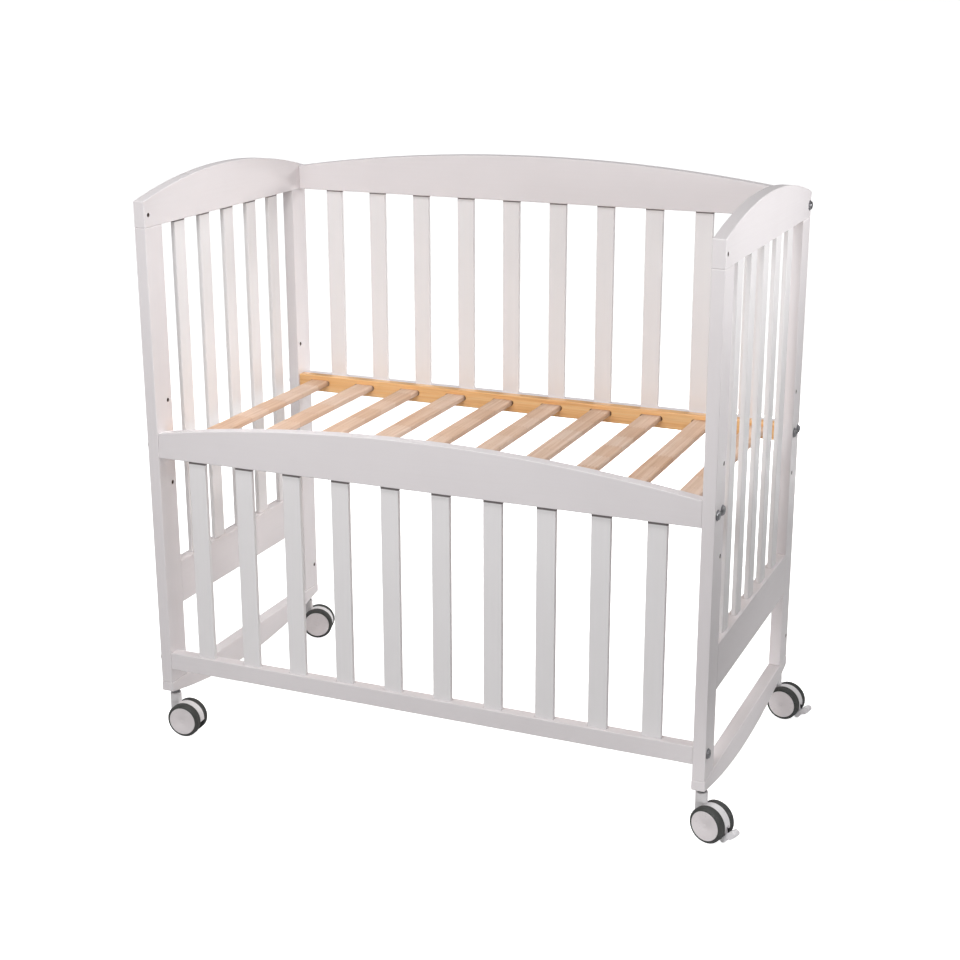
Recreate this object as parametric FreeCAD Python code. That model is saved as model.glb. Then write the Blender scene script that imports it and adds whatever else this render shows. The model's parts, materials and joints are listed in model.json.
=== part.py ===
"""Bedside sleeper crib: two end panels on casters, a high back panel, a low front panel and a slatted base.

X runs along the crib, Y from the open front to the back, Z up from the floor. All sizes are in millimetres.
The crib is modelled about the middle of its floor area, and moved at the end so that the origin is the middle
of everything's footprint.
"""
import FreeCAD, Part
import math
import os

from FreeCAD import Rotation, Vector

# ---------------------------------------------------------------- driving dimensions: overall
crib_length = 950.0  # over the outer faces of the end panels
crib_depth = 518.0  # over the outer faces of the posts
board_thickness = 20.0  # posts, caps, cross rails and the rails of both slatted panels
edge_round = 1.5  # eased edges of every painted board

# end panels
post_width = 48.0
cap_end_height = 41.5
cap_rise = 33.5  # how far the arch stands above the cap's ends
cross_rail_height = 73.5
cross_rail_lift = 130.5  # from the top of the foot rail to the cross rail
foot_rail_thickness = 21.5
foot_rail_end_height = 16.0
foot_rail_sag = 29.5  # how far the rocker-shaped underside hangs below its ends
end_slat_count = 5

# upright slats of the end panels and of the slatted panels
slat_width = 31.0
slat_thickness = 8.0
slat_round = 1.8
slat_housing_depth = 12.0  # how deep a slat sits in its rail
slat_housing_clearance = 0.2

# slatted panels: the same panel closes the back and, one bolt row lower, the front
panel_inset = 1.0  # from the posts' outer face to the panel's face
panel_bottom_rail_height = 29.5
panel_opening_height = 342.5  # visible length of the slats
panel_top_end_height = 41.5
panel_top_rise = 35.5
panel_slat_count = 10
panel_end_gap = 51.5  # from a post to the first slat

# bolt rows in the end panels
low_row_lift = 42.5  # lowest bolt row above the foot rail
panel_low_bolt_height = 17.5  # bolt above the panel's lower edge
panel_top_bolt_height = 19.5  # bolt above the top rail's lower edge
base_row_step = 70.0  # height step of the mattress base

# mattress base
base_rail_thickness = 18.0
base_rail_height = 30.0
base_rail_gap = 6.0  # free space between a base rail and the slatted panel outside it
base_rail_round = 2.5
base_slat_count = 10
base_slat_width = 34.5
base_slat_thickness = 10.0
base_slat_round = 2.5
base_slat_drop = 8.5  # from the rail's top edge down to the slats' top face
base_end_gap = 25.4  # from a post to the first cross slat
slot_depth = 9.0
slot_side_clearance = 0.5  # each side, between the flats of the slot's and the slat's undersides
slot_top_clearance = 0.4
slot_end_clearance = 0.5

# bolts, barrel nuts and dowels
bolt_radius = 3.0
panel_bolt_length = 60.0  # under the head
base_bolt_length = 40.0  # ends before the first slot of the base rail
bolt_head_radius = 7.0
bolt_head_height = 4.0
bolt_head_round = 2.2
bolt_key_width = 4.0  # across the flats of the hexagonal key recess
bolt_key_depth = 2.5
bolt_hole_clearance = 0.5
bolt_tip_room = 1.5  # bore left free past the bolt's tip
barrel_nut_radius = 5.0
barrel_nut_length = 14.0
barrel_nut_setback = 6.5  # from the bolt's tip back to the nut's axis
dowel_radius = 4.0
dowel_length = 24.0
dowel_edge_distance = 10.0  # from a post's sides in to the axes of its end dowels
cross_dowel_spacing = 36.0  # between the two dowels of a cross rail joint
close_fit = 0.05  # radial clearance of pins, axles and dowels
hole_overshoot = 1.0  # how far a drill runs past the face that it opens

# casters
wheel_radius = 28.8
wheel_width = 13.0
wheel_trail = 20.2  # from the stem's axis back to the axle
hood_width = 13.0  # between the two wheels
hood_wheel_gap = 0.9
wheel_hub_gap = 0.3  # thrust gap between a wheel's boss and the hood
wheel_boss_radius = 6.0
hood_inset = 0.6  # hood's rim inside the tread circle
hood_lower_edge_drop = 3.0  # hood's open edge below the axle
axle_boss_radius = 8.0
axle_radius = 3.0
axle_reach = 9.0  # how deep the axle goes into each wheel
neck_radius = 9.5
neck_height = 15.6  # from the top of the wheels to the top of the housing
neck_round = 1.2
stem_pin_radius = 4.0
stem_pin_depth = 26.0  # in the housing
stem_shank_radius = 4.0
stem_shank_length = 33.0  # in the socket
stem_collar_width = 13.0  # across the flats
stem_collar_height = 6.0
stem_thrust_gap = 0.3
socket_wall = 1.5
socket_flange_radius = 8.5
socket_flange_thickness = 1.5
socket_recess_clearance = 0.5

# wheels
side_disc_radius = 23.6
side_disc_thickness = 1.6
tyre_thickness = 6.0
tyre_chamfer_depth = 2.4
tyre_chamfer_width = 3.4
tyre_inner_round = 0.8
tyre_side_step = 0.3  # tyre's side behind the side disc's face
tyre_disc_gap = 0.2

# brake pedals on the two right-hand casters
pedal_pivot_reach = 19.5  # from the axle out to the pivot
pedal_pivot_lift = 2.5  # pivot above the axle
pedal_pin_radius = 1.5
pedal_tang_width = 6.8
pedal_slot_clearance = 0.4
pedal_head_radius = 4.5
pedal_width = 12.4
pedal_waist_thickness = 7.6
pedal_lobe_radius = 5.4  # round ends: the heel between the wheels and the toe outside them
pedal_heel_out = 24.0  # middle of the heel, out from the axle
pedal_heel_height = 9.8  # and above the floor
pedal_toe_width = 15.2
pedal_toe_length = 5.0  # of the toe's straight part
pedal_toe_out = 40.0  # middle of the toe's outer end
pedal_toe_height = 22.0

# how far each caster is turned from trailing straight to the right, in degrees
front_left_turn = 4.0
front_right_turn = -18.0
back_left_turn = 18.0
back_right_turn = -10.5

# ---------------------------------------------------------------- derived sizes: in plan
half_length = crib_length / 2
half_depth = crib_depth / 2
end_x = half_length - board_thickness / 2  # middle plane of an end panel
inner_half_length = half_length - board_thickness
post_y = half_depth - post_width / 2  # middle of a post, and of the caster under it
post_inner_y = half_depth - post_width
panel_y = half_depth - panel_inset - board_thickness / 2  # middle plane of a slatted panel
base_rail_y = panel_y - board_thickness / 2 - base_rail_gap - base_rail_thickness / 2
base_rail_inner_y = base_rail_y - base_rail_thickness / 2
bolt_hole_radius = bolt_radius + bolt_hole_clearance

# derived sizes: heights
axle_z = wheel_radius
housing_top_z = 2 * wheel_radius + neck_height
collar_bottom_z = housing_top_z + stem_thrust_gap
socket_bottom_z = collar_bottom_z + stem_collar_height
socket_seat_z = socket_bottom_z + socket_flange_thickness
recess_radius = socket_flange_radius + socket_recess_clearance
rocker_radius = (half_depth**2 + foot_rail_sag**2) / (2 * foot_rail_sag)


def rocker_rise(y):
    """Height of the rocker's underside at y over its lowest point."""
    return rocker_radius - math.sqrt(rocker_radius**2 - y**2)


foot_end_z = socket_seat_z + foot_rail_sag - rocker_rise(post_y + recess_radius)
foot_top_z = foot_end_z + foot_rail_end_height
row_pitch = (
    panel_bottom_rail_height - panel_low_bolt_height + panel_opening_height + panel_top_bolt_height
)
row_z = [foot_top_z + low_row_lift + row * row_pitch for row in range(3)]
seam_z = row_z[2] - panel_top_bolt_height  # where the cap rail sits on the posts
cross_rail_z = foot_top_z + cross_rail_lift
base_rail_top_z = row_z[1] + base_rail_height / 2
base_slat_top_z = base_rail_top_z - base_slat_drop
front_panel_z = row_z[0] - panel_low_bolt_height
back_panel_z = row_z[1] - panel_low_bolt_height


# ---------------------------------------------------------------- shared shapes
def rounded(shape, radius, thinnest):
    """The shape with all its edges rounded, by no more than its thinnest side allows."""
    return shape.makeFillet(min(radius, 0.45 * thinnest), shape.Edges)


def block(low, high):
    """A plain box between two opposite corners."""
    size = high - low
    return Part.makeBox(size.x, size.y, size.z, low)


def board(low, high, radius=edge_round):
    """A box between two opposite corners, with eased edges."""
    size = high - low
    return rounded(block(low, high), radius, min(size.x, size.y, size.z))


def rod(start, direction, radius, length):
    """A cylinder from a point along a direction."""
    return Part.makeCylinder(radius, length, start, direction)


def crossbar(centre, direction, radius, length):
    """A cylinder along a direction, centred on a point."""
    return rod(centre - direction * (length / 2), direction, radius, length)


def hexagon_bar(start, direction, width, length):
    """A hexagonal bar, width across its flats, from a point along a direction."""
    corner_radius = width / math.sqrt(3)
    corners = [
        Vector(corner_radius * math.cos(k * math.pi / 3), corner_radius * math.sin(k * math.pi / 3), 0)
        for k in range(7)
    ]
    bar = Part.Face(Part.makePolygon(corners)).extrude(Vector(0, 0, length))
    bar.Placement = FreeCAD.Placement(start, Rotation(Vector(0, 0, 1), direction))
    return bar


def bowed_board(half_span, end_height, bow, thickness):
    """A board along X on z = 0, straight below and arched above, about its own middle plane."""
    left = Vector(-half_span, -thickness / 2, 0)
    right = Vector(half_span, -thickness / 2, 0)
    left_end = left + Vector(0, 0, end_height)
    right_end = right + Vector(0, 0, end_height)
    crown = Vector(0, -thickness / 2, end_height + bow)
    edges = [
        Part.LineSegment(left, right).toShape(),
        Part.LineSegment(right, right_end).toShape(),
        Part.Arc(right_end, crown, left_end).toShape(),
        Part.LineSegment(left_end, left).toShape(),
    ]
    face = Part.Face(Part.Wire(edges))
    return rounded(face.extrude(Vector(0, thickness, 0)), edge_round, thickness)


def turned(shape, axis, degrees):
    """A copy of the shape, turned about an axis through the origin."""
    copy = shape.copy()
    copy.rotate(Vector(0, 0, 0), axis, degrees)
    return copy


def moved(shape, offset):
    """A copy of the shape, moved by an offset."""
    copy = shape.copy()
    copy.translate(offset)
    return copy


def edges_along(shape, direction):
    """The straight edges that run along a direction."""
    straight = [edge for edge in shape.Edges if isinstance(edge.Curve, Part.Line)]
    return [edge for edge in straight if abs(edge.Curve.Direction.dot(direction)) > 0.99]


def spread(count, first, last):
    """Evenly spaced positions from first to last."""
    return [first + index * (last - first) / (count - 1) for index in range(count)]


# ---------------------------------------------------------------- upright slats
def upright_slat(x, y, bottom_z, top_z, width_axis):
    """An upright slat in its two housings, wide along width_axis. It stands on the lower housing's floor."""
    along_x = abs(width_axis.x) > 0.5
    half_x = (slat_width if along_x else slat_thickness) / 2
    half_y = (slat_thickness if along_x else slat_width) / 2
    low = Vector(x - half_x, y - half_y, bottom_z - slat_housing_depth)
    high = Vector(x + half_x, y + half_y, top_z + slat_housing_depth - slat_housing_clearance)
    blank = block(low, high)
    radius = min(slat_round, 0.4 * slat_thickness)
    return blank.makeFillet(radius, edges_along(blank, Vector(0, 0, 1)))


def slat_housings(x, y, bottom_z, top_z, width_axis):
    """The two pockets that hold a slat, in the rails below and above it."""
    along_x = abs(width_axis.x) > 0.5
    half_x = (slat_width if along_x else slat_thickness) / 2 + slat_housing_clearance
    half_y = (slat_thickness if along_x else slat_width) / 2 + slat_housing_clearance
    pockets = []
    for floor_z in (bottom_z - slat_housing_depth, top_z):
        low = Vector(x - half_x, y - half_y, floor_z)
        pockets.append(block(low, Vector(x + half_x, y + half_y, floor_z + slat_housing_depth)))
    return pockets


# ---------------------------------------------------------------- end panels, modelled on the plane x = 0
def end_slat_positions():
    gap = (2 * post_inner_y - end_slat_count * slat_width) / (end_slat_count + 1)
    outermost = post_inner_y - gap - slat_width / 2
    return spread(end_slat_count, -outermost, outermost)


def end_bolt_holes():
    """All bolt holes of an end panel: three rows for the slatted panels, three for the mattress base."""
    places = [(y, z) for y in (-panel_y, panel_y) for z in row_z]
    for step in (-1, 0, 1):
        places += [(y, row_z[1] + step * base_row_step) for y in (-base_rail_y, base_rail_y)]
    length = board_thickness + 2 * hole_overshoot
    return [crossbar(Vector(0, y, z), Vector(1, 0, 0), bolt_hole_radius, length) for y, z in places]


def end_dowel_places():
    """Centre and direction of each dowel of an end panel."""
    places = []
    for side in (-1, 1):
        for y in (half_depth - dowel_edge_distance, post_inner_y + dowel_edge_distance):
            for z in (foot_top_z, seam_z):
                places.append((Vector(0, side * y, z), Vector(0, 0, 1)))
        for offset in (-cross_dowel_spacing / 2, cross_dowel_spacing / 2):
            z = cross_rail_z + cross_rail_height / 2 + offset
            places.append((Vector(0, side * post_inner_y, z), Vector(0, 1, 0)))
    return places


def end_drillings():
    """Everything that is cut out of an end panel's boards."""
    tools = end_bolt_holes()
    for centre, direction in end_dowel_places():
        tools.append(crossbar(centre, direction, dowel_radius + close_fit, dowel_length + 2 * close_fit))
    for y in end_slat_positions():
        tools += slat_housings(0, y, cross_rail_z + cross_rail_height, seam_z, Vector(0, 1, 0))
    for y in (-post_y, post_y):
        tools.append(stem_recess(y))
        tools.append(socket_bore(y))
    return tools


def stem_recess(y):
    """Flat seat for the socket's flange in the curved underside of the foot rail."""
    depth = socket_seat_z - (foot_end_z - foot_rail_sag) + hole_overshoot
    return rod(Vector(0, y, socket_seat_z), Vector(0, 0, -1), recess_radius, depth)


def socket_bore(y):
    """Blind bore for the socket, through the foot rail and up into the post."""
    radius = stem_shank_radius + socket_wall + 2 * close_fit
    start = Vector(0, y, socket_seat_z - hole_overshoot)
    return rod(start, Vector(0, 0, 1), radius, stem_shank_length + socket_wall + 2 * hole_overshoot)


def end_post(side):
    """A post: upright board between the foot rail and the cap rail."""
    y = side * post_y
    low = Vector(-board_thickness / 2, y - post_width / 2, foot_top_z)
    high = Vector(board_thickness / 2, y + post_width / 2, seam_z)
    return board(low, high)


def end_cap_rail():
    """The arched cap rail that sits on both posts."""
    arch = bowed_board(half_depth, cap_end_height, cap_rise, board_thickness)
    return moved(turned(arch, Vector(0, 0, 1), 90), Vector(0, 0, seam_z))


def end_cross_rail():
    """The lower cross rail between the posts, which carries the slats."""
    low = Vector(-board_thickness / 2, -post_inner_y, cross_rail_z)
    high = Vector(board_thickness / 2, post_inner_y, cross_rail_z + cross_rail_height)
    return board(low, high)


def end_foot_rail():
    """The foot rail: straight on top, rocker-shaped below, with a caster under each end."""
    rocker = bowed_board(half_depth, foot_rail_end_height, foot_rail_sag, foot_rail_thickness)
    upside_down = turned(rocker, Vector(1, 0, 0), 180)
    return moved(turned(upside_down, Vector(0, 0, 1), 90), Vector(0, 0, foot_top_z))


def end_slats():
    bottom = cross_rail_z + cross_rail_height
    return [upright_slat(0, y, bottom, seam_z, Vector(0, 1, 0)) for y in end_slat_positions()]


def end_panel():
    """The pieces of one end panel, by name."""
    tools = end_drillings()
    pieces = {
        "front_post": end_post(-1).cut(tools),
        "back_post": end_post(1).cut(tools),
        "cap_rail": end_cap_rail().cut(tools),
        "cross_rail": end_cross_rail().cut(tools),
        "foot_rail": end_foot_rail().cut(tools),
    }
    pieces["slats"] = Part.makeCompound(end_slats())
    return pieces


def dowels():
    """The glued dowels of both end panels."""
    solids = []
    for x in (-end_x, end_x):
        for centre, direction in end_dowel_places():
            solids.append(crossbar(centre + Vector(x, 0, 0), direction, dowel_radius, dowel_length))
    return Part.makeCompound(solids)


# ---------------------------------------------------------------- bolts and barrel nuts
def bolt(x_side, y, z, length):
    """A connector bolt from the outer face of an end panel inwards."""
    inward = Vector(-x_side, 0, 0)
    face = Vector(x_side * half_length, y, z)
    top = face - inward * bolt_head_height
    head = rod(top, inward, bolt_head_radius, bolt_head_height)
    rim = [edge for edge in head.Edges if abs(edge.CenterOfMass.x - top.x) < bolt_head_height / 2]
    head = head.makeFillet(min(bolt_head_round, 0.8 * bolt_head_height), [e for e in rim if e.isClosed()])
    key = hexagon_bar(top - inward * hole_overshoot, inward, bolt_key_width, bolt_key_depth + hole_overshoot)
    shank = rod(face - inward * hole_overshoot, inward, bolt_radius, length + hole_overshoot)
    return head.cut(key).fuse(shank.cut(key)).removeSplitter()


def nut_x(x_side, length):
    """Where the barrel nut's axis crosses a bolt of some length."""
    return x_side * (half_length - length + barrel_nut_setback)


def barrel_nut(x_side, y, z, length):
    """The nut of one bolt: a barrel across the rail, with the bolt's hole through it."""
    centre = Vector(nut_x(x_side, length), y, z)
    nut = crossbar(centre, Vector(0, 1, 0), barrel_nut_radius, barrel_nut_length)
    hole = crossbar(centre, Vector(1, 0, 0), bolt_radius + close_fit, 3 * barrel_nut_radius)
    return nut.cut(hole)


def rail_end_bores(x_side, y, z, length, rail_thickness, open_side):
    """The bolt's bore and the barrel nut's blind bore in a rail's end. The nut goes in from open_side."""
    inward = Vector(-x_side, 0, 0)
    start = Vector(x_side * (inner_half_length + hole_overshoot), y, z)
    bore_length = length - board_thickness + bolt_tip_room + hole_overshoot
    mouth = Vector(nut_x(x_side, length), y + open_side * (rail_thickness / 2 + hole_overshoot), z)
    depth = rail_thickness / 2 + hole_overshoot + barrel_nut_length / 2
    return [
        rod(start, inward, bolt_hole_radius, bore_length),
        rod(mouth, Vector(0, -open_side, 0), barrel_nut_radius + close_fit, depth),
    ]


def panel_bolt_places():
    """Side, y, z and length of the eight bolts that hold the two slatted panels."""
    levels = [(-panel_y, row_z[0]), (-panel_y, row_z[1]), (panel_y, row_z[1]), (panel_y, row_z[2])]
    return [(side, y, z, panel_bolt_length) for side in (-1, 1) for y, z in levels]


def base_bolt_places():
    """Side, y, z and length of the four bolts that hold the mattress base."""
    rails_y = (-base_rail_y, base_rail_y)
    return [(side, y, row_z[1], base_bolt_length) for side in (-1, 1) for y in rails_y]


def group(maker, places):
    """One compound of identical pieces."""
    return Part.makeCompound([maker(*place) for place in places])


# ---------------------------------------------------------------- slatted panels
def panel_slat_positions():
    outermost = inner_half_length - panel_end_gap - slat_width / 2
    return spread(panel_slat_count, -outermost, outermost)


def slatted_panel(y, bottom_z):
    """Bottom rail, arched top rail and slats of one panel, by name. Its barrel nuts go in from the back."""
    slats_from = bottom_z + panel_bottom_rail_height
    slats_to = slats_from + panel_opening_height
    half = board_thickness / 2
    low = Vector(-inner_half_length, y - half, bottom_z)
    bottom = board(low, Vector(inner_half_length, y + half, slats_from))
    top = bowed_board(inner_half_length, panel_top_end_height, panel_top_rise, board_thickness)
    top = moved(top, Vector(0, y, slats_to))
    tools = []
    for x in panel_slat_positions():
        tools += slat_housings(x, y, slats_from, slats_to, Vector(1, 0, 0))
    for side in (-1, 1):
        for z in (bottom_z + panel_low_bolt_height, slats_to + panel_top_bolt_height):
            tools += rail_end_bores(side, y, z, panel_bolt_length, board_thickness, 1)
    slats = [upright_slat(x, y, slats_from, slats_to, Vector(1, 0, 0)) for x in panel_slat_positions()]
    return {
        "bottom_rail": bottom.cut(tools),
        "top_rail": top.cut(tools),
        "slats": Part.makeCompound(slats),
    }


# ---------------------------------------------------------------- mattress base
def base_slat_positions():
    outermost = inner_half_length - base_end_gap - base_slat_width / 2
    return spread(base_slat_count, -outermost, outermost)


def base_slat(x):
    """A cross slat, which lies on the floors of its two slots."""
    half_span = base_rail_inner_y + slot_depth - slot_end_clearance
    low = Vector(x - base_slat_width / 2, -half_span, base_slat_top_z - base_slat_thickness)
    high = Vector(x + base_slat_width / 2, half_span, base_slat_top_z)
    return board(low, high, base_slat_round)


def base_slot(x, side):
    """The round-ended slot of one slat in the inner face of a base rail."""
    height = base_slat_thickness + slot_top_clearance
    end_radius = height / 2
    middle_z = base_slat_top_z - base_slat_thickness + end_radius
    half_width = base_slat_width / 2 - base_slat_round + slot_side_clearance
    mouth_y = side * (base_rail_inner_y - hole_overshoot)
    outward = Vector(0, side, 0)
    length = slot_depth + hole_overshoot
    ends = [
        rod(Vector(x + offset, mouth_y, middle_z), outward, end_radius, length)
        for offset in (-half_width, half_width)
    ]
    reach_y = mouth_y + side * length
    low = Vector(x - half_width, min(mouth_y, reach_y), middle_z - end_radius)
    high = Vector(x + half_width, max(mouth_y, reach_y), middle_z + end_radius)
    return block(low, high).fuse(ends)


def base_rail(side):
    """A long side rail of the mattress base, with its slots and end bores."""
    y = side * base_rail_y
    half = base_rail_thickness / 2
    low = Vector(-inner_half_length, y - half, base_rail_top_z - base_rail_height)
    high = Vector(inner_half_length, y + half, base_rail_top_z)
    rail = board(low, high, base_rail_round)
    tools = [base_slot(x, side) for x in base_slat_positions()]
    for x_side in (-1, 1):
        tools += rail_end_bores(x_side, y, row_z[1], base_bolt_length, base_rail_thickness, side)
    return rail.cut(tools)


# ---------------------------------------------------------------- casters, trailing to +X, stem on the Z axis
hood_half = hood_width / 2
wheel_inner_y = hood_half + hood_wheel_gap
wheel_outer_y = wheel_inner_y + wheel_width
pivot_x = wheel_trail + pedal_pivot_reach
pivot_z = axle_z + pedal_pivot_lift


def stem_socket(x, y):
    """Flanged steel socket, pushed up into the foot rail and the post."""
    outer = stem_shank_radius + socket_wall + close_fit
    seat = Vector(x, y, socket_bottom_z)
    body = rod(seat, Vector(0, 0, 1), outer, socket_flange_thickness + stem_shank_length + socket_wall)
    flange = rod(seat, Vector(0, 0, 1), socket_flange_radius, socket_flange_thickness)
    bore_depth = socket_flange_thickness + stem_shank_length
    return body.fuse(flange).cut(rod(seat, Vector(0, 0, 1), stem_shank_radius + close_fit, bore_depth))


def caster_stem(x, y):
    """Steel stem: shank in the socket, hexagonal collar, pin down into the housing."""
    up = Vector(0, 0, 1)
    foot = Vector(x, y, collar_bottom_z)
    collar = hexagon_bar(foot, up, stem_collar_width, stem_collar_height)
    shank = rod(Vector(x, y, socket_bottom_z), up, stem_shank_radius, stem_shank_length)
    pin = rod(foot, -up, stem_pin_radius, stem_pin_depth)
    return collar.fuse([shank, pin])


def caster_neck():
    """Round neck over the wheels, narrowed to the hood's width between them."""
    above_wheels = 2 * wheel_radius + hood_wheel_gap
    neck = rod(Vector(0, 0, above_wheels), Vector(0, 0, 1), neck_radius, housing_top_z - above_wheels)
    rim = [edge for edge in neck.Edges if abs(edge.CenterOfMass.z - housing_top_z) < hole_overshoot]
    neck = neck.makeFillet(neck_round, [edge for edge in rim if edge.isClosed()])
    lower = rod(Vector(0, 0, axle_z), Vector(0, 0, 1), neck_radius, above_wheels - axle_z)
    web = block(Vector(-neck_radius, -hood_half, axle_z), Vector(neck_radius, hood_half, above_wheels))
    return neck.fuse(lower.common(web))


def caster_hood():
    """Hood between the wheels: a half disc over the axle, with a boss around it."""
    axle = Vector(wheel_trail, 0, axle_z)
    radius = wheel_radius - hood_inset
    disc = crossbar(axle, Vector(0, 1, 0), radius, hood_width)
    low = Vector(wheel_trail - radius - 1, -hood_width, axle_z - radius - 1)
    below = block(low, Vector(wheel_trail + radius + 1, hood_width, axle_z - hood_lower_edge_drop))
    boss = crossbar(axle, Vector(0, 1, 0), axle_boss_radius, hood_width)
    return disc.cut(below).fuse(boss)


def pedal_slot():
    """Room in the hood for the brake pedal's tang."""
    half = pedal_tang_width / 2 + pedal_slot_clearance
    radius = pedal_head_radius + 2 * pedal_slot_clearance
    around_pivot = crossbar(Vector(pivot_x, 0, pivot_z), Vector(0, 1, 0), radius, 2 * half)
    low = Vector(pivot_x - radius, -half, 0)
    return around_pivot.fuse(block(low, Vector(wheel_trail + 2 * wheel_radius, half, pivot_z)))


def caster_housing(braked):
    """Moulded housing: neck, hood, and bores for the stem, the axle and the brake's pin."""
    tools = [
        rod(
            Vector(0, 0, housing_top_z),
            Vector(0, 0, -1),
            stem_pin_radius + close_fit,
            stem_pin_depth + stem_thrust_gap,
        ),
        crossbar(Vector(wheel_trail, 0, axle_z), Vector(0, 1, 0), axle_radius + close_fit, 2 * hood_width),
    ]
    if braked:
        tools.append(pedal_slot())
        pivot = Vector(pivot_x, 0, pivot_z)
        tools.append(crossbar(pivot, Vector(0, 1, 0), pedal_pin_radius + close_fit, 2 * hood_width))
    return caster_neck().fuse(caster_hood()).removeSplitter().cut(tools)


def caster_axle():
    centre = Vector(wheel_trail, 0, axle_z)
    return crossbar(centre, Vector(0, 1, 0), axle_radius, 2 * (wheel_inner_y + axle_reach))


def revolved(profile):
    """A solid of revolution about the axle from (radius, distance from the hood's middle) points."""
    points = [Vector(wheel_trail + radius, y, axle_z) for radius, y in profile]
    face = Part.Face(Part.makePolygon(points + points[:1]))
    return face.revolve(Vector(wheel_trail, 0, axle_z), Vector(0, 1, 0), 360)


def wheel_core():
    """Plastic wheel body on the far side of the hood, with its flat side disc and blind axle bore."""
    seat = wheel_radius - tyre_thickness
    disc_from = wheel_outer_y - side_disc_thickness
    bore = axle_radius + close_fit
    bore_end = wheel_inner_y + axle_reach + close_fit
    return revolved(
        [
            (bore, hood_half + wheel_hub_gap),
            (wheel_boss_radius, hood_half + wheel_hub_gap),
            (wheel_boss_radius, wheel_inner_y),
            (seat, wheel_inner_y),
            (seat, disc_from),
            (side_disc_radius, disc_from),
            (side_disc_radius, wheel_outer_y),
            (0, wheel_outer_y),
            (0, bore_end),
            (bore, bore_end),
        ]
    )


def wheel_tyre():
    """Tyre around the wheel body, chamfered on its outer side."""
    inner = wheel_radius - tyre_thickness + close_fit
    side_y = wheel_outer_y - tyre_side_step
    lip = side_disc_radius + tyre_disc_gap
    disc_from = wheel_outer_y - side_disc_thickness - tyre_disc_gap
    chamfer_radius = max(wheel_radius - tyre_chamfer_depth, lip + tyre_disc_gap)
    return revolved(
        [
            (inner, wheel_inner_y),
            (wheel_radius - tyre_inner_round, wheel_inner_y),
            (wheel_radius, wheel_inner_y + tyre_inner_round),
            (wheel_radius, side_y - tyre_chamfer_width),
            (chamfer_radius, side_y),
            (lip, side_y),
            (lip, disc_from),
            (inner, disc_from),
        ]
    )


def near_side(shape):
    """The mirror image of a wheel piece, for the wheel in front of the hood."""
    return shape.mirror(Vector(0, 0, 0), Vector(0, 1, 0))


def brake_pin():
    return crossbar(Vector(pivot_x, 0, pivot_z), Vector(0, 1, 0), pedal_pin_radius, hood_width)


def capsule(start, end, half_thickness, width):
    """A flat bar with round ends between two points of the caster's middle plane."""
    along = (end - start).normalize()
    across = Vector(-along.z, 0, along.x) * half_thickness
    shift = Vector(0, -width / 2, 0)
    edges = [
        Part.LineSegment(start + across, end + across).toShape(),
        Part.Arc(end + across, end + along * half_thickness, end - across).toShape(),
        Part.LineSegment(end - across, start - across).toShape(),
        Part.Arc(start - across, start - along * half_thickness, start + across).toShape(),
    ]
    return moved(Part.Face(Part.Wire(edges)).extrude(Vector(0, width, 0)), shift)


def brake_pedal():
    """Foot pedal: heel, waist and wider toe behind the wheels, on a tang that hangs from the pivot."""
    across = Vector(0, 1, 0)
    pivot = Vector(pivot_x, 0, pivot_z)
    heel_middle = Vector(wheel_trail + pedal_heel_out, 0, pedal_heel_height)
    toe_end = Vector(wheel_trail + pedal_toe_out, 0, pedal_toe_height)
    toe_start = toe_end - (toe_end - heel_middle).normalize() * pedal_toe_length
    heel = crossbar(heel_middle, across, pedal_lobe_radius, pedal_width)
    waist = capsule(heel_middle, toe_end, pedal_waist_thickness / 2, pedal_width)
    toe = capsule(toe_start, toe_end, pedal_lobe_radius, pedal_toe_width)
    tang = capsule(pivot, heel_middle, pedal_head_radius, pedal_tang_width)
    bore = crossbar(pivot, across, pedal_pin_radius + close_fit, 2 * hood_width)
    return heel.fuse([waist, toe, tang]).removeSplitter().cut(bore)


casters = {
    "front_left": (-1, -1, front_left_turn, False),
    "front_right": (1, -1, front_right_turn, True),
    "back_left": (-1, 1, back_left_turn, False),
    "back_right": (1, 1, back_right_turn, True),
}


def caster_pieces(braked):
    """The pieces of one caster that swivel with it, by name."""
    core = wheel_core()
    tyre = wheel_tyre()
    pieces = {
        "caster_housing": caster_housing(braked),
        "axle": caster_axle(),
        "outer_wheel": near_side(core),
        "outer_tyre": near_side(tyre),
        "inner_wheel": core,
        "inner_tyre": tyre,
    }
    if braked:
        pieces["brake_pedal"] = brake_pedal()
        pieces["brake_pin"] = brake_pin()
    return pieces


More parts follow.
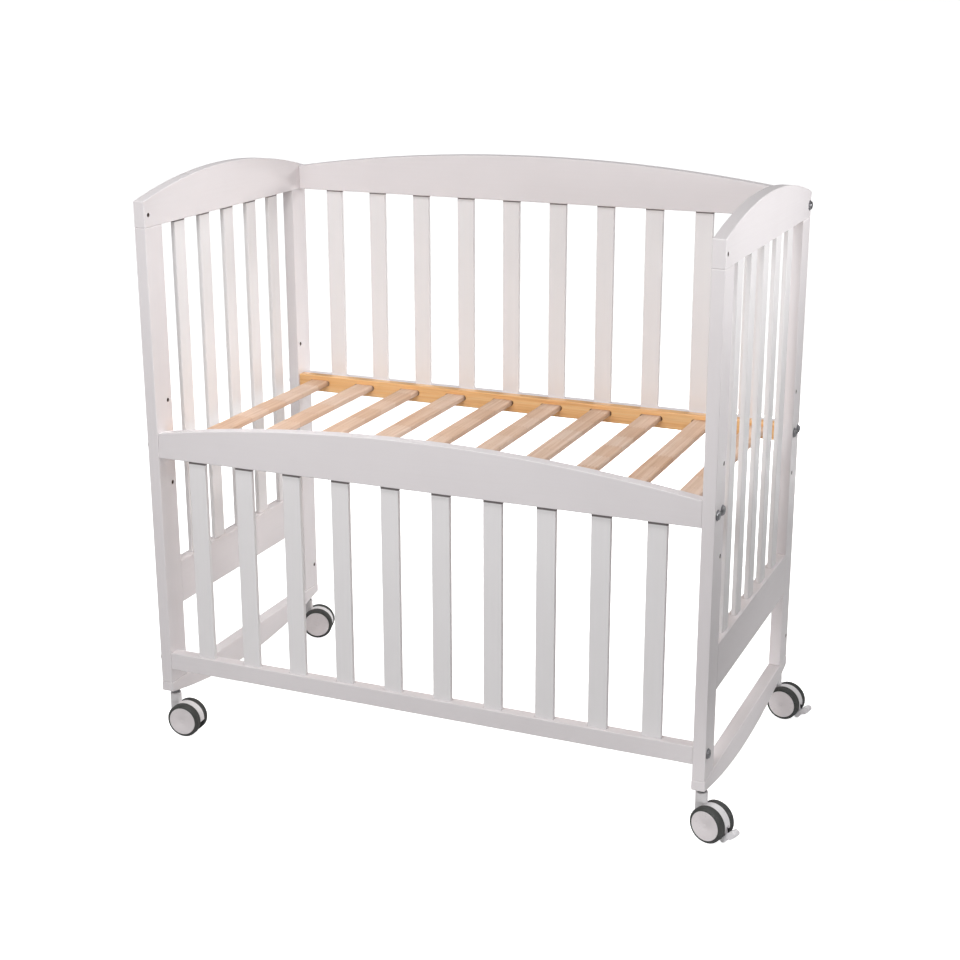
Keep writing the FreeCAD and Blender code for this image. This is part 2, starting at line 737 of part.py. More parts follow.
# ---------------------------------------------------------------- the whole crib
def assemble():
    """Every node's shape, by node name, about the middle of the crib."""
    nodes = {}
    for side_name, x in (("left", -end_x), ("right", end_x)):
        for name, shape in end_panel().items():
            nodes[f"{side_name}_{name}"] = moved(shape, Vector(x, 0, 0))
    for panel_name, y, bottom_z in (
        ("front_panel", -panel_y, front_panel_z),
        ("back_panel", panel_y, back_panel_z),
    ):
        for name, shape in slatted_panel(y, bottom_z).items():
            nodes[f"{panel_name}_{name}"] = shape
    nodes["base_front_rail"] = base_rail(-1)
    nodes["base_back_rail"] = base_rail(1)
    nodes["base_slats"] = group(base_slat, [(x,) for x in base_slat_positions()])
    nodes["dowels"] = dowels()
    nodes["panel_bolts"] = group(bolt, panel_bolt_places())
    nodes["base_bolts"] = group(bolt, base_bolt_places())
    nodes["panel_barrel_nuts"] = group(barrel_nut, panel_bolt_places())
    nodes["base_barrel_nuts"] = group(barrel_nut, base_bolt_places())
    stems = [(x_side * end_x, y_side * post_y) for x_side, y_side, turn, braked in casters.values()]
    nodes["stem_sockets"] = group(stem_socket, stems)
    nodes["caster_stems"] = group(caster_stem, stems)
    for corner, (x_side, y_side, turn, braked) in casters.items():
        stem = Vector(x_side * end_x, y_side * post_y, 0)
        for name, shape in caster_pieces(braked).items():
            nodes[f"{corner}_{name}"] = moved(turned(shape, Vector(0, 0, 1), turn), stem)
    return nodes


def footprint_middle(shapes):
    """Middle of the footprint of all shapes, at floor level."""
    box = Part.makeCompound(list(shapes)).optimalBoundingBox(False, False)
    return Vector(box.Center.x, box.Center.y, 0)


nodes = assemble()
origin = footprint_middle(nodes.values())

os.makedirs("parts", exist_ok=True)
for node_name, node_shape in nodes.items():
    moved(node_shape, -origin).exportStep(f"parts/{node_name}.step")

print(f"{len(nodes)} nodes, origin at {origin.x:.3f}, {origin.y:.3f} from the crib's middle")
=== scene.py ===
import json
import math

import bmesh
import bpy
from mathutils import Matrix, Vector


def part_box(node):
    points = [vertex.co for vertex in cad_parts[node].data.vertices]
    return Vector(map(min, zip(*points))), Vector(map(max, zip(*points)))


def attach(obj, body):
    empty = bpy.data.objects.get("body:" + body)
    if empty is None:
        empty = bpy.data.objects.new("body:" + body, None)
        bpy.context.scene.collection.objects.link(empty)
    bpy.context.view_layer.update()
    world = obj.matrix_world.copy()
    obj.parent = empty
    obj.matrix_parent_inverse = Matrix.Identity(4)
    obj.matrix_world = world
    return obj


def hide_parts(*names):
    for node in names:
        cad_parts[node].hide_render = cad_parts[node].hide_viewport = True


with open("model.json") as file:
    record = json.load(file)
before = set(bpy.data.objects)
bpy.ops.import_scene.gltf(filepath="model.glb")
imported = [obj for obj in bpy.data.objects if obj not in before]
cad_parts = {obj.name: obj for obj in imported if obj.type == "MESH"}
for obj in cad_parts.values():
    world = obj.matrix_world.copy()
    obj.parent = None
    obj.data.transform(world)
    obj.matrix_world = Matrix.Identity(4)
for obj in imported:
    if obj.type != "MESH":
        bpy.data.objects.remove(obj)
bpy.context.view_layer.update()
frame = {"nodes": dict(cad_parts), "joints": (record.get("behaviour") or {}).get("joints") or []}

# --------------------------------------------------------------------------------------------------
# End panel boards: posts, arched cap rails, cross rails and rocker-shaped foot rails. They are
# planed pine, 20 mm thick, with eased edges, dowelled and glued, then sprayed with white satin
# paint.
# --------------------------------------------------------------------------------------------------
ALONG_X, ALONG_Y, ALONG_Z = 0, 1, 2
UNTINTED = (1.0, 1.0, 1.0)


def new_finish(name):
    """An empty finish, its node tree and its surface shader."""
    finish = bpy.data.materials.new(name)
    finish.use_nodes = True
    return finish, finish.node_tree, finish.node_tree.nodes["Principled BSDF"]


def set_shader(surface, **values):
    """Writes plain numbers and colours on the surface shader's own sockets."""
    for socket, value in values.items():
        surface.inputs[socket.replace("_", " ")].default_value = value


def grain_field(tree, along, across_per_m, along_per_m, detail=6.0, distortion=0.0):
    """Noise drawn out along the board like wood grain."""
    place = tree.nodes.new("ShaderNodeTexCoord")
    draw_out = tree.nodes.new("ShaderNodeMapping")
    draw_out.inputs["Scale"].default_value = [
        along_per_m if axis == along else across_per_m for axis in range(3)
    ]
    grain = tree.nodes.new("ShaderNodeTexNoise")
    grain.inputs["Scale"].default_value = 1.0
    grain.inputs["Detail"].default_value = detail
    grain.inputs["Roughness"].default_value = 0.6
    grain.inputs["Distortion"].default_value = distortion
    tree.links.new(place.outputs["Object"], draw_out.inputs["Vector"])
    tree.links.new(draw_out.outputs["Vector"], grain.inputs["Vector"])
    return grain.outputs["Fac"]


def speckle(tree, per_m, detail=2.0):
    """Even noise with no direction."""
    return grain_field(tree, ALONG_X, per_m, per_m, detail)


def between(tree, field, low, high, from_low=0.3, from_high=0.7):
    """A field rescaled to a range of numbers."""
    spread = tree.nodes.new("ShaderNodeMapRange")
    spread.inputs["From Min"].default_value = from_low
    spread.inputs["From Max"].default_value = from_high
    spread.inputs["To Min"].default_value = low
    spread.inputs["To Max"].default_value = high
    tree.links.new(field, spread.inputs["Value"])
    return spread.outputs["Result"]


def tones(tree, field, *stops):
    """Colours laid along a field, as (place, colour) stops."""
    ramp = tree.nodes.new("ShaderNodeValToRGB")
    elements = ramp.color_ramp.elements
    while len(elements) < len(stops):
        elements.new(0.5)
    for element, (where, colour) in zip(elements, stops):
        element.position = where
        element.color = (*colour, 1.0)
    tree.links.new(field, ramp.inputs["Fac"])
    return ramp.outputs["Color"]


def relief(tree, surface, *layers):
    """Stacks bump layers, each a field with its height in metres, on the surface."""
    normal = None
    for field, height in layers:
        bump = tree.nodes.new("ShaderNodeBump")
        bump.inputs["Strength"].default_value = 1.0
        bump.inputs["Distance"].default_value = height
        tree.links.new(field, bump.inputs["Height"])
        if normal is not None:
            tree.links.new(normal, bump.inputs["Normal"])
        normal = bump.outputs["Normal"]
    tree.links.new(normal, surface.inputs["Normal"])


def multiply(tree, colour, other):
    """Two colours multiplied."""
    mix = tree.nodes.new("ShaderNodeMix")
    mix.data_type = "RGBA"
    mix.blend_type = "MULTIPLY"
    mix.inputs["Factor"].default_value = 1.0
    tree.links.new(colour, mix.inputs["A"])
    tree.links.new(other, mix.inputs["B"])
    return mix.outputs["Result"]


def object_place(tree):
    """The X, Y and Z of the shaded point, measured in its own object."""
    place = tree.nodes.new("ShaderNodeTexCoord")
    split = tree.nodes.new("ShaderNodeSeparateXYZ")
    tree.links.new(place.outputs["Object"], split.inputs["Vector"])
    return split.outputs


def bare_and_shaded_inside(tree, colour, bare_and_shade_tone, depth=0.02, darkest_below=0.46, untinted_above=0.60):
    """Tints a coat deep in a bore or slot: painted shade, partly the bare wood the coat missed."""
    # Occlusion marks the bores and slots; the dark tint there is painted shade.
    cavity = tree.nodes.new("ShaderNodeAmbientOcclusion")
    cavity.samples = 6
    cavity.only_local = True
    cavity.inputs["Distance"].default_value = depth
    openness = cavity.outputs["AO"]
    bare_and_shade = tones(tree, openness, (darkest_below, bare_and_shade_tone), (untinted_above, UNTINTED))
    return multiply(tree, colour, bare_and_shade)


def painted_rail_shadow(tree, colour, rail_z, shadow_height, blur=0.0006, shadow_tone=(0.24, 0.22, 0.22)):
    """A painted shadow line on a slat just below its rail, where the rail's overhang shades it."""
    # Painted shadow: the slat turns dark above a line a little below the rail's underside.
    height = object_place(tree)["Z"]
    rise = between(tree, height, 0.0, 1.0, from_low=rail_z - shadow_height - blur, from_high=rail_z - shadow_height)
    return multiply(tree, colour, tones(tree, rise, (0.0, UNTINTED), (1.0, shadow_tone)))


def white_paint(name, along, thin_tone, full_tone, rail_z=None, shadow_height=0.0030):
    """White satin paint, grain in gloss and relief; painted shade in bores and under a rail."""
    grain_height, spray_height = 0.000006, 0.00001
    bare_pine_and_shade = (0.16, 0.11, 0.08)
    finish, tree, surface = new_finish(name)
    set_shader(surface, Coat_Weight=0.12, Coat_Roughness=0.22, IOR=1.46)
    cloud = speckle(tree, per_m=5.0, detail=3.0)
    grain = grain_field(
        tree, along, across_per_m=260.0, along_per_m=7.0, detail=5.0, distortion=0.4
    )
    spray = speckle(tree, per_m=900.0)
    coat = tones(tree, cloud, (0.30, thin_tone), (0.70, full_tone))
    fibres = tones(tree, grain, (0.35, (0.992, 0.990, 0.989)), (0.62, UNTINTED))
    # Painted shade in the bores, together with the bare pine inside them.
    painted = bare_and_shaded_inside(tree, multiply(tree, coat, fibres), bare_pine_and_shade)
    if rail_z is not None:
        # Painted shadow of the rail's overhang along the slat's top.
        painted = painted_rail_shadow(tree, painted, rail_z, shadow_height)
    tree.links.new(painted, surface.inputs["Base Color"])
    tree.links.new(between(tree, grain, low=0.44, high=0.36), surface.inputs["Roughness"])
    relief(tree, surface, (grain, grain_height), (spray, spray_height))
    return finish


def dress(finish, slot, *nodes):
    """Gives CAD nodes a finish."""
    for name in nodes:
        node = frame["nodes"][name]
        node.data.materials.clear()
        node.data.materials.append(finish)


board_tones = ((0.815, 0.775, 0.785), (0.845, 0.805, 0.816))
paint_along_x = white_paint("white_paint_along_x", ALONG_X, *board_tones)
paint_along_y = white_paint("white_paint_along_y", ALONG_Y, *board_tones)
paint_upright = white_paint("white_paint_upright", ALONG_Z, *board_tones)

for end in ("left", "right"):
    dress(paint_upright, "white_paint", f"{end}_front_post", f"{end}_back_post")
    dress(
        paint_along_y, "white_paint", f"{end}_cap_rail", f"{end}_cross_rail", f"{end}_foot_rail"
    )

# --------------------------------------------------------------------------------------------------
# End slats: thin painted uprights with rounded edges. Each is glued into a housing in the cross
# rail below and in the cap rail above.
# --------------------------------------------------------------------------------------------------
slat_tones = ((0.865, 0.845, 0.850), (0.890, 0.870, 0.875))
cap_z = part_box("left_cap_rail")[0].z
# The end slats carry a painted shadow line under the cap rail.
end_slat_paint = white_paint("end_slat_paint", ALONG_Z, *slat_tones, cap_z)
dress(end_slat_paint, "white_paint", "left_slats", "right_slats")

# --------------------------------------------------------------------------------------------------
# Slatted panels: the high back and the low front are the same panel, an arched top rail and a
# straight bottom rail joined by ten painted slats.
# --------------------------------------------------------------------------------------------------
# Each panel's slats carry a painted shadow line of their own height under the top rail.
for panel, shadow_height in (("front_panel", 0.0046), ("back_panel", 0.0024)):
    dress(paint_along_x, "white_paint", f"{panel}_top_rail", f"{panel}_bottom_rail")
    rail_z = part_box(f"{panel}_top_rail")[0].z
    slat_paint = white_paint(f"{panel}_slat_paint", ALONG_Z, *slat_tones, rail_z, shadow_height)
    dress(slat_paint, "white_paint", f"{panel}_slats")

# --------------------------------------------------------------------------------------------------
# Mattress base rails: pine rails with a glossy orange varnish, and a round-ended slot for each
# cross slat.
# --------------------------------------------------------------------------------------------------


def orange_varnish(name):
    """Orange varnish over pine: growth lines along X, glossy, painted shade deep in the slots."""
    fibre_height = 0.00010
    slot_shade_tone = (0.48, 0.34, 0.24)
    finish, tree, surface = new_finish(name)
    set_shader(surface, Coat_Weight=0.55, Coat_Roughness=0.09, IOR=1.5)
    growth = grain_field(
        tree, ALONG_X, across_per_m=95.0, along_per_m=2.2, detail=4.0, distortion=1.2
    )
    fibre = grain_field(tree, ALONG_X, across_per_m=700.0, along_per_m=14.0, detail=4.0)
    wood = tones(
        tree,
        growth,
        (0.28, (0.74, 0.350, 0.115)),
        (0.48, (0.92, 0.520, 0.215)),
        (0.70, (0.96, 0.620, 0.300)),
    )
    streaks = tones(tree, fibre, (0.30, (0.86, 0.82, 0.78)), (0.62, UNTINTED))
    # Painted shade deep in the slots, found by occlusion.
    varnished = bare_and_shaded_inside(tree, multiply(tree, wood, streaks), slot_shade_tone)
    tree.links.new(varnished, surface.inputs["Base Color"])
    tree.links.new(between(tree, fibre, low=0.36, high=0.24), surface.inputs["Roughness"])
    relief(tree, surface, (fibre, fibre_height))
    return finish


dress(orange_varnish("orange_varnish"), "varnished_wood", "base_front_rail", "base_back_rail")

# --------------------------------------------------------------------------------------------------
# Cross slats: bare pine glued up from short lengths with finger joints, planed, with rounded edges.
# They lie in the slots of the base rails.
# --------------------------------------------------------------------------------------------------
slat_low, slat_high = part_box("base_slats")
slat_count = 10
slat_width = 0.0345
slat_pitch = (slat_high.x - slat_low.x - slat_width) / (slat_count - 1)


def arithmetic(tree, operation, *terms):
    """One sum on fields or numbers."""
    node = tree.nodes.new("ShaderNodeMath")
    node.operation = operation
    for socket, term in zip(node.inputs, terms):
        if isinstance(term, (int, float)):
            socket.default_value = term
        else:
            tree.links.new(term, socket)
    return node.outputs["Value"]


def any_number(tree, whole):
    """A random number from 0 to 1 for each whole number."""
    noise = tree.nodes.new("ShaderNodeTexWhiteNoise")
    noise.noise_dimensions = "1D"
    tree.links.new(whole, noise.inputs["W"])
    return noise.outputs["Value"]


def finger_jointed_pine(name):
    """Pale pinkish pine in short lengths, each with its own tone, joined by zigzag fingers."""
    piece_length = 0.06
    finger_width, finger_slope = 0.0028, 3.2
    slat_code = 7.31
    fibre_height = 0.00015
    finish, tree, surface = new_finish(name)
    set_shader(surface, IOR=1.45, Coat_Weight=0.05, Coat_Roughness=0.35)
    place = object_place(tree)
    x, y = place["X"], place["Y"]

    first_slat = slat_low.x + slat_width / 2
    from_first = arithmetic(tree, "SUBTRACT", x, first_slat)
    slat = arithmetic(tree, "ROUND", arithmetic(tree, "DIVIDE", from_first, slat_pitch))
    zigzag = arithmetic(tree, "PINGPONG", x, finger_width)
    fingers = arithmetic(tree, "MULTIPLY", zigzag, finger_slope)
    own_start = any_number(tree, arithmetic(tree, "ADD", slat, 0.5))
    shift = arithmetic(tree, "MULTIPLY", own_start, piece_length)
    along = arithmetic(tree, "ADD", arithmetic(tree, "ADD", y, fingers), shift)
    lengths = arithmetic(tree, "DIVIDE", along, piece_length)
    piece = arithmetic(tree, "FLOOR", lengths)
    code = arithmetic(tree, "ADD", arithmetic(tree, "MULTIPLY", slat, slat_code), piece)

    growth = grain_field(
        tree, ALONG_Y, across_per_m=120.0, along_per_m=3.0, detail=4.0, distortion=1.0
    )
    fibre = grain_field(tree, ALONG_Y, across_per_m=800.0, along_per_m=16.0, detail=4.0)
    wood = tones(
        tree,
        growth,
        (0.30, (0.680, 0.470, 0.345)),
        (0.50, (0.770, 0.575, 0.450)),
        (0.72, (0.840, 0.670, 0.570)),
    )
    own = tones(
        tree,
        any_number(tree, code),
        (0.0, (0.90, 0.80, 0.70)),
        (0.5, (1.0, 0.96, 0.92)),
        (1.0, UNTINTED),
    )
    streaks = tones(tree, fibre, (0.30, (0.90, 0.87, 0.84)), (0.62, UNTINTED))
    from_joint = arithmetic(tree, "PINGPONG", lengths, 0.5)
    glue = tones(tree, from_joint, (0.0, (0.70, 0.58, 0.50)), (0.012, UNTINTED))
    toned = multiply(tree, multiply(tree, multiply(tree, wood, own), streaks), glue)
    tree.links.new(toned, surface.inputs["Base Color"])
    tree.links.new(between(tree, fibre, low=0.62, high=0.48), surface.inputs["Roughness"])
    relief(tree, surface, (fibre, fibre_height))
    return finish


dress(finger_jointed_pine("finger_jointed_pine"), "slat_wood", "base_slats")

# --------------------------------------------------------------------------------------------------
# Dowels: plain beech pins glued across the joints of the end panels, hidden once the boards are
# together.
# --------------------------------------------------------------------------------------------------


def bare_beech(name):
    """Bare beech with its short flecks."""
    fleck_height = 0.0001
    finish, tree, surface = new_finish(name)
    flecks = grain_field(tree, ALONG_Z, across_per_m=500.0, along_per_m=90.0, detail=3.0)
    wood = tones(tree, flecks, (0.35, (0.55, 0.38, 0.22)), (0.60, (0.68, 0.50, 0.32)))
    tree.links.new(wood, surface.inputs["Base Color"])
    tree.links.new(between(tree, flecks, low=0.7, high=0.55), surface.inputs["Roughness"])
    relief(tree, surface, (flecks, fleck_height))
    return finish


dress(bare_beech("bare_beech"), "dowel_wood", "dowels")

# --------------------------------------------------------------------------------------------------
# Connector bolts, washers and barrel nuts: zinc-plated steel. The button heads with their key
# sockets stand on the end panels' outer faces, each on a thin washer, and the nuts lie in blind
# bores of the rails.
# --------------------------------------------------------------------------------------------------


def plated_steel(name, tone, low_rough, high_rough):
    """Zinc-plated steel, clouded by handling, with fine turning marks."""
    mark_height = 0.00003
    finish, tree, surface = new_finish(name)
    set_shader(surface, Metallic=1.0)
    cloud = speckle(tree, per_m=260.0, detail=4.0)
    marks = speckle(tree, per_m=2600.0)
    dull = tuple(0.72 * part for part in tone)
    tree.links.new(tones(tree, cloud, (0.30, dull), (0.66, tone)), surface.inputs["Base Color"])
    tree.links.new(between(tree, cloud, high_rough, low_rough), surface.inputs["Roughness"])
    relief(tree, surface, (marks, mark_height))
    return finish


bolt_zinc = plated_steel("bolt_zinc", (0.42, 0.42, 0.44), 0.22, 0.42)
dress(bolt_zinc, "steel", "panel_bolts", "base_bolts", "panel_barrel_nuts", "base_barrel_nuts")


def islands(node):
    """Lowest and highest corner of each separate solid of a CAD node."""
    mesh = bmesh.new()
    mesh.from_mesh(frame["nodes"][node].data)
    bmesh.ops.remove_doubles(mesh, verts=mesh.verts, dist=1e-6)
    left = set(mesh.verts)
    found = []
    while left:
        front = [left.pop()]
        points = []
        while front:
            vertex = front.pop()
            points.append(vertex.co.copy())
            for edge in vertex.link_edges:
                other = edge.other_vert(vertex)
                if other in left:
                    left.remove(other)
                    front.append(other)
        low = Vector(min(point[axis] for point in points) for axis in range(3))
        high = Vector(max(point[axis] for point in points) for axis in range(3))
        found.append((low, high))
    mesh.free()
    return sorted(found, key=lambda box: tuple(box[0]))


def lathe(mesh, profile, centre, axis, steps=96):
    """Turns a closed (radius, distance along the axis) profile into a solid of revolution."""
    on_axis = 1e-7
    axis = axis.normalized()
    side = axis.orthogonal().normalized()
    turns = [Matrix.Rotation(2 * math.pi * step / steps, 3, axis) @ side for step in range(steps)]
    rings = []
    for radius, along in profile:
        middle = centre + axis * along
        if radius < on_axis:
            rings.append([mesh.verts.new(middle)] * steps)
        else:
            rings.append([mesh.verts.new(middle + turn * radius) for turn in turns])
    for ring, following in zip(rings, rings[1:] + rings[:1]):
        for step in range(steps):
            after = (step + 1) % steps
            patch = [ring[step], ring[after], following[after], following[step]]
            patch = list(dict.fromkeys(patch))
            if len(patch) > 2:
                mesh.faces.new(patch)


def linked(name, data):
    """A new object in the scene that shows the data."""
    thing = bpy.data.objects.new(name, data)
    bpy.context.scene.collection.objects.link(thing)
    return thing


def made_piece(name, mesh, finish, slot, body, sharp_degrees=35.0):
    """Makes a smooth-shaded piece of a mesh, gives it its finish, and lets it ride on its body."""
    bmesh.ops.recalc_face_normals(mesh, faces=mesh.faces)
    data = bpy.data.meshes.new(name)
    mesh.to_mesh(data)
    mesh.free()
    piece = linked(name, data)
    data.shade_smooth()
    data.set_sharp_from_angle(angle=math.radians(sharp_degrees))
    data.materials.append(finish)
    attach(piece, body)
    return piece


head_height = 0.004
washer_hole, washer_radius = 0.0046, 0.0082
washer_thickness, washer_edge = 0.0009, 0.0002
washer_profile = [
    (washer_hole, 0.0),
    (washer_radius - washer_edge, 0.0),
    (washer_radius, washer_edge),
    (washer_radius, washer_thickness - washer_edge),
    (washer_radius - washer_edge, washer_thickness),
    (washer_hole, washer_thickness),
]
washers = bmesh.new()
for low, high in islands("panel_bolts") + islands("base_bolts"):
    outward = 1 if (low.x + high.x) / 2 > 0 else -1
    face_x = high.x - head_height if outward > 0 else low.x + head_height
    seat = Vector((face_x, (low.y + high.y) / 2, (low.z + high.z) / 2))
    lathe(washers, washer_profile, seat, Vector((outward, 0, 0)), steps=48)
washer_steel = plated_steel("washer_steel", (0.30, 0.30, 0.32), 0.30, 0.5)
made_piece("bolt_washers", washers, washer_steel, "steel", "crib")

# --------------------------------------------------------------------------------------------------
# Caster sockets and stems: a flanged socket pressed up into each foot, and a steel stem with a
# hexagonal collar.
# --------------------------------------------------------------------------------------------------
# The stem steel is darker than the bolts': painted shade for the shadowed gap between foot and
# neck. The axles and brake pins share it.
shaded_stem_zinc = plated_steel("shaded_stem_zinc", (0.27, 0.27, 0.28), 0.25, 0.45)
dress(shaded_stem_zinc, "steel", "stem_sockets", "caster_stems")

# --------------------------------------------------------------------------------------------------
# Caster housings: one white nylon moulding each, a round neck on the stem and a hood over the axle,
# with rounded edges and a faint pebbled skin. The axle is a plain steel pin.
# --------------------------------------------------------------------------------------------------
corners = ("front_left", "front_right", "back_left", "back_right")


def white_nylon(name, tone):
    """White moulded nylon: slightly warm, glossy, with a fine pebble and faint flow clouds."""
    pebble_height = 0.00003
    finish, tree, surface = new_finish(name)
    set_shader(surface, IOR=1.53, Coat_Weight=0.1, Coat_Roughness=0.15)
    flow = speckle(tree, per_m=60.0, detail=3.0)
    pebble = speckle(tree, per_m=1800.0)
    shade = tuple(0.94 * part for part in tone)
    tree.links.new(tones(tree, flow, (0.32, shade), (0.68, tone)), surface.inputs["Base Color"])
    tree.links.new(between(tree, flow, low=0.36, high=0.26), surface.inputs["Roughness"])
    relief(tree, surface, (pebble, pebble_height))
    return finish


def soften(name, width):
    """Rounds a CAD node's sharp edges a little, as a moulding's are."""
    node = frame["nodes"][name]
    weld = node.modifiers.new("weld", "WELD")
    weld.merge_threshold = 0.00001
    bevel = node.modifiers.new("round", "BEVEL")
    bevel.width = width
    bevel.segments = 3
    bevel.limit_method = "ANGLE"
    bevel.angle_limit = math.radians(40.0)


hood_nylon = white_nylon("hood_nylon", (0.84, 0.82, 0.83))
for corner in corners:
    dress(hood_nylon, "white_plastic", f"{corner}_caster_housing")
    soften(f"{corner}_caster_housing", width=0.0006)
    dress(shaded_stem_zinc, "steel", f"{corner}_axle")

# --------------------------------------------------------------------------------------------------
# Wheels: two to a caster, each a white moulded disc with a raised rim on its outer side and a grey
# soft tyre moulded round it, chamfered outside and finely grooved on its tread.
# --------------------------------------------------------------------------------------------------


def in_metres(profile):
    """A (radius, distance along the axle) profile in millimetres, as metres."""
    mm = 0.001
    return [(radius * mm, along * mm) for radius, along in profile]


bore_radius, hub_radius, well_radius, rim_radius, lip_radius = 3.05, 6.0, 21.3, 22.8, 23.6
hub_face, rim_face, web_face, lip_foot, lip_face = 6.8, 7.4, 10.5, 18.8, 20.4
bore_end = 16.5
disc_profile = in_metres(
    [(bore_radius, hub_face), (5.7, hub_face), (hub_radius, 7.1), (hub_radius, 9.5)]
    + [(8.0, web_face), (19.8, web_face), (well_radius, 9.4), (well_radius, 7.7)]
    + [(21.6, rim_face), (22.7, rim_face), (rim_radius, 7.5), (rim_radius, lip_foot)]
    + [(23.4, lip_foot), (lip_radius, 19.0), (lip_radius, 20.0), (23.2, lip_face)]
    + [(22.5, lip_face), (22.2, 20.2), (21.9, 20.12), (4.2, 20.22), (3.9, 20.05)]
    + [(3.5, 20.05), (3.2, 20.22), (0.0, 20.25), (0.0, bore_end), (bore_radius, bore_end)]
)
tyre_bore, tread_radius, groove_radius = 22.85, 28.8, 28.52
tyre_foot, tyre_lip = 7.4, 18.6
groove_starts = (9.8, 11.9, 14.0)
tread_groove = [
    (tread_radius, 0.0), (groove_radius, 0.25), (groove_radius, 0.45), (tread_radius, 0.7),
]
tyre_profile = in_metres(
    [(tyre_bore, tyre_foot), (28.0, tyre_foot), (28.55, 7.6), (tread_radius, 8.1)]
    + [(radius, start + along) for start in groove_starts for radius, along in tread_groove]
    + [(tread_radius, 16.6), (28.6, 17.0), (26.5, 19.8), (26.1, 20.05), (23.9, 20.1)]
    + [(23.8, 19.9), (23.8, tyre_lip), (tyre_bore, tyre_lip)]
)


def grey_tyre(name):
    """Dark grey soft tread with a dusty bloom and a fine matt skin."""
    skin_height = 0.00006
    finish, tree, surface = new_finish(name)
    set_shader(surface, IOR=1.5)
    dust = speckle(tree, per_m=150.0, detail=5.0)
    skin = speckle(tree, per_m=1500.0)
    rubber = tones(
        tree,
        dust,
        (0.34, (0.050, 0.052, 0.050)),
        (0.60, (0.066, 0.069, 0.066)),
        (0.78, (0.13, 0.13, 0.125)),
    )
    tree.links.new(rubber, surface.inputs["Base Color"])
    tree.links.new(between(tree, dust, low=0.48, high=0.66), surface.inputs["Roughness"])
    relief(tree, surface, (skin, skin_height))
    return finish


def wheel_part(name, profile, body, outward, look, stands_for, sharp_degrees):
    """Turns one part of a wheel on its body's axle, in the place of a CAD node."""
    joint = wheel_joints[body]
    mesh = bmesh.new()
    lathe(mesh, profile, Vector(joint["pos_m"]), Vector(joint["axis"]) * outward)
    piece = made_piece(name, mesh, *look, body, sharp_degrees)
    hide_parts(stands_for)


disc_look = (white_nylon("disc_nylon", (0.86, 0.81, 0.82)), "white_plastic")
tread_look = (grey_tyre("tyre_grey"), "grey_tread")
wheel_joints = {
    joint["child"]: joint for joint in frame["joints"] if joint["name"].endswith("wheel_spin")
}
for corner in corners:
    for side, outward in (("inner", 1), ("outer", -1)):
        wheel = f"{corner}_{side}"
        body = f"{wheel}_wheel_body"
        wheel_part(f"{wheel}_disc", disc_profile, body, outward, disc_look, f"{wheel}_wheel", 35.0)
        wheel_part(f"{wheel}_tread", tyre_profile, body, outward, tread_look, f"{wheel}_tyre", 25.0)

# --------------------------------------------------------------------------------------------------
# Brake pedals: a thick rounded nylon paddle behind each right-hand caster, on a tang that turns on
# a steel pin.
# --------------------------------------------------------------------------------------------------
pedal_nylon = white_nylon("pedal_nylon", (0.86, 0.84, 0.86))
for corner in ("front_right", "back_right"):
    dress(pedal_nylon, "white_plastic", f"{corner}_brake_pedal")
    soften(f"{corner}_brake_pedal", width=0.0012)
    dress(shaded_stem_zinc, "steel", f"{corner}_brake_pin")

# --------------------------------------------------------------------------------------------------
# The studio: a plain pale floor just below the wheels, an even white surround, and soft lamps in
# front, above, behind and at both sides.
# --------------------------------------------------------------------------------------------------
floor_mesh = bmesh.new()
bmesh.ops.create_grid(floor_mesh, x_segments=1, y_segments=1, size=40.0)
floor_data = bpy.data.meshes.new("studio_floor")
floor_mesh.to_mesh(floor_data)
floor_mesh.free()
floor = linked("studio_floor", floor_data)
floor.location.z = -0.0005


def seen_or_lit(tree, seen, lit, out):
    """Shows one shader to the camera and lets another light the object."""
    path = tree.nodes.new("ShaderNodeLightPath")
    choose = tree.nodes.new("ShaderNodeMixShader")
    tree.links.new(path.outputs["Is Camera Ray"], choose.inputs["Fac"])
    tree.links.new(lit, choose.inputs[1])
    tree.links.new(seen, choose.inputs[2])
    tree.links.new(choose.outputs["Shader"], out.inputs["Surface"])


def pale_floor(name):
    """Seen by the camera the floor is near white; it throws back less light than that."""
    finish, tree, _ = new_finish(name)
    tree.nodes.clear()
    out = tree.nodes.new("ShaderNodeOutputMaterial")
    seen = tree.nodes.new("ShaderNodeAddShader")
    bright = tree.nodes.new("ShaderNodeBsdfDiffuse")
    bright.inputs["Color"].default_value = (0.9, 0.9, 0.9, 1.0)
    glow = tree.nodes.new("ShaderNodeEmission")
    glow.inputs["Strength"].default_value = 0.95
    dim = tree.nodes.new("ShaderNodeBsdfDiffuse")
    dim.inputs["Color"].default_value = (0.55, 0.55, 0.55, 1.0)
    tree.links.new(bright.outputs["BSDF"], seen.inputs[0])
    tree.links.new(glow.outputs["Emission"], seen.inputs[1])
    seen_or_lit(tree, seen.outputs["Shader"], dim.outputs["BSDF"], out)
    return finish


floor_data.materials.append(pale_floor("pale_floor"))

surround = bpy.data.worlds.new("white_surround")
surround.use_nodes = True
sky = surround.node_tree
backdrop = sky.nodes["Background"]
backdrop.inputs["Color"].default_value = (1.0, 1.0, 1.0, 1.0)
backdrop.inputs["Strength"].default_value = 1.0
fill = sky.nodes.new("ShaderNodeBackground")
fill.inputs["Color"].default_value = (1.0, 0.985, 0.99, 1.0)
fill.inputs["Strength"].default_value = 0.22
world_output = sky.nodes["World Output"]
seen_or_lit(sky, backdrop.outputs["Background"], fill.outputs["Background"], world_output)
bpy.context.scene.world = surround


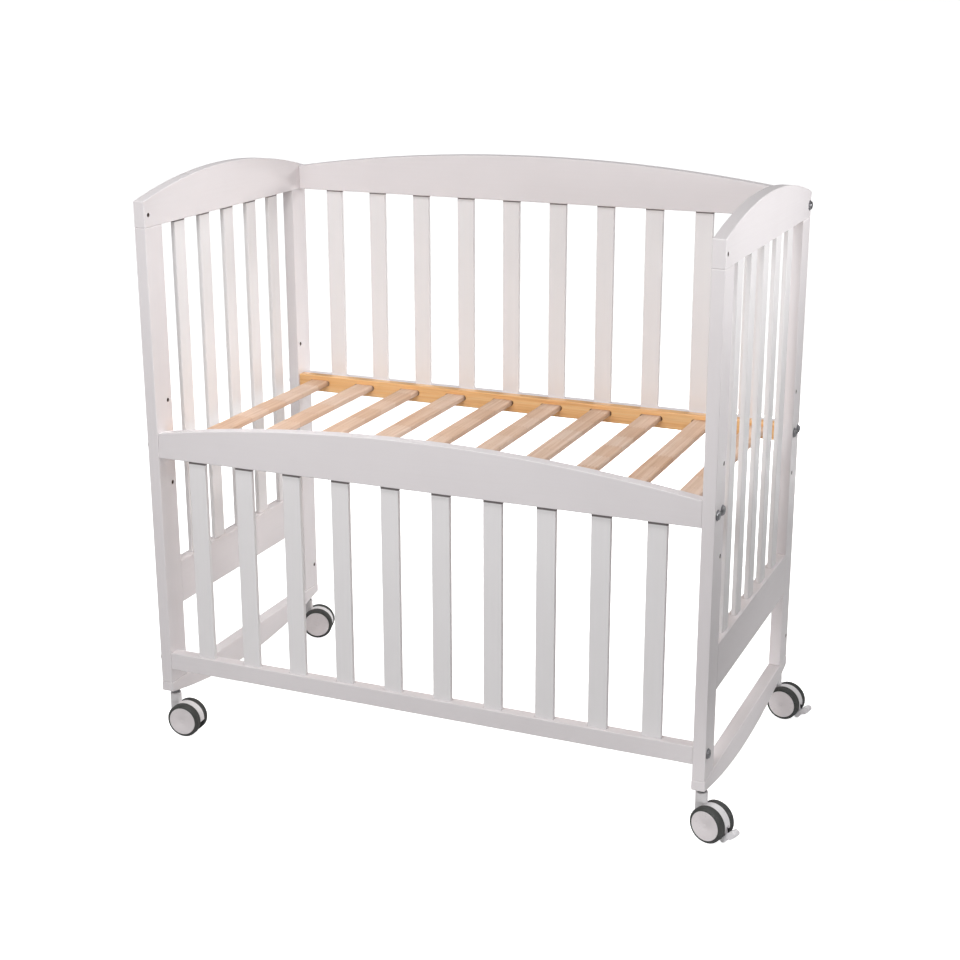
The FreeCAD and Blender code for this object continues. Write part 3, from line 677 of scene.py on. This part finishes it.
def softbox(name, place, target, size, power, glints=True, spread=180.0):
    """A rectangular lamp aimed at a point, out of the picture, with or without a reflection."""
    lamp = bpy.data.lights.new(name, "AREA")
    lamp.shape = "RECTANGLE"
    lamp.size, lamp.size_y = size
    lamp.energy = power
    lamp.spread = math.radians(spread)
    holder = linked(name, lamp)
    holder.location = place
    holder.visible_camera = False
    holder.visible_glossy = glints
    aim = Vector(target) - Vector(place)
    holder.rotation_euler = aim.to_track_quat("-Z", "Y").to_euler()


softbox("right_softbox", (0.85, -0.02, 0.93), (0.46, -0.02, 0.92), (0.9, 0.16), 2.6)
softbox(
    "low_right_softbox", (1.3, -1.0, 0.05), (0.47, 0.0, 0.04), (0.3, 0.1), 0.17,
    glints=False, spread=25.0,
)
softbox(
    "inner_softbox", (0.25, -0.2, 1.35), (-0.48, -0.1, 0.55), (0.3, 0.3), 0.5,
    glints=False, spread=60.0,
)
softbox("front_softbox", (-0.2, -1.75, 1.35), (0.0, 0.0, 0.7), (1.1, 0.6), 14.0)
softbox("high_softbox", (0.1, -1.3, 2.6), (0.0, 0.0, 0.8), (0.5, 0.5), 15.0)
softbox("left_softbox", (-2.2, 0.5, 1.3), (0.0, 0.0, 0.5), (1.2, 1.0), 17.0, glints=False)
softbox("low_back_softbox", (0.4, 2.0, 0.2), (-0.45, 0.0, 0.2), (1.2, 0.4), 17.0, glints=False)
softbox("high_back_softbox", (0.6, 2.2, 1.8), (-0.45, 0.0, 0.7), (1.2, 0.8), 28.0, glints=False)

# --------------------------------------------------------------------------------------------------
# The camera stands where the photograph was taken: to the right of the open front and a little
# above it.
# --------------------------------------------------------------------------------------------------
camera_data = bpy.data.cameras.new("photo_camera")
camera_data.sensor_width = 36.0
camera_data.lens = 64.25
camera_data.clip_start = 0.05
camera_data.clip_end = 200.0
camera = linked("photo_camera", camera_data)
turned_left, tilt, roll = math.radians(23.12), math.radians(-17.32), math.radians(-0.11)
camera.location = (1.0466, -2.5081, 1.2916)
camera.rotation_mode = "QUATERNION"
camera.rotation_quaternion = (
    Matrix.Rotation(turned_left, 3, "Z")
    @ Matrix.Rotation(math.pi / 2 + tilt, 3, "X")
    @ Matrix.Rotation(roll, 3, "Z")
).to_quaternion()
bpy.context.scene.camera = camera
bpy.context.scene.view_settings.view_transform = "Standard"
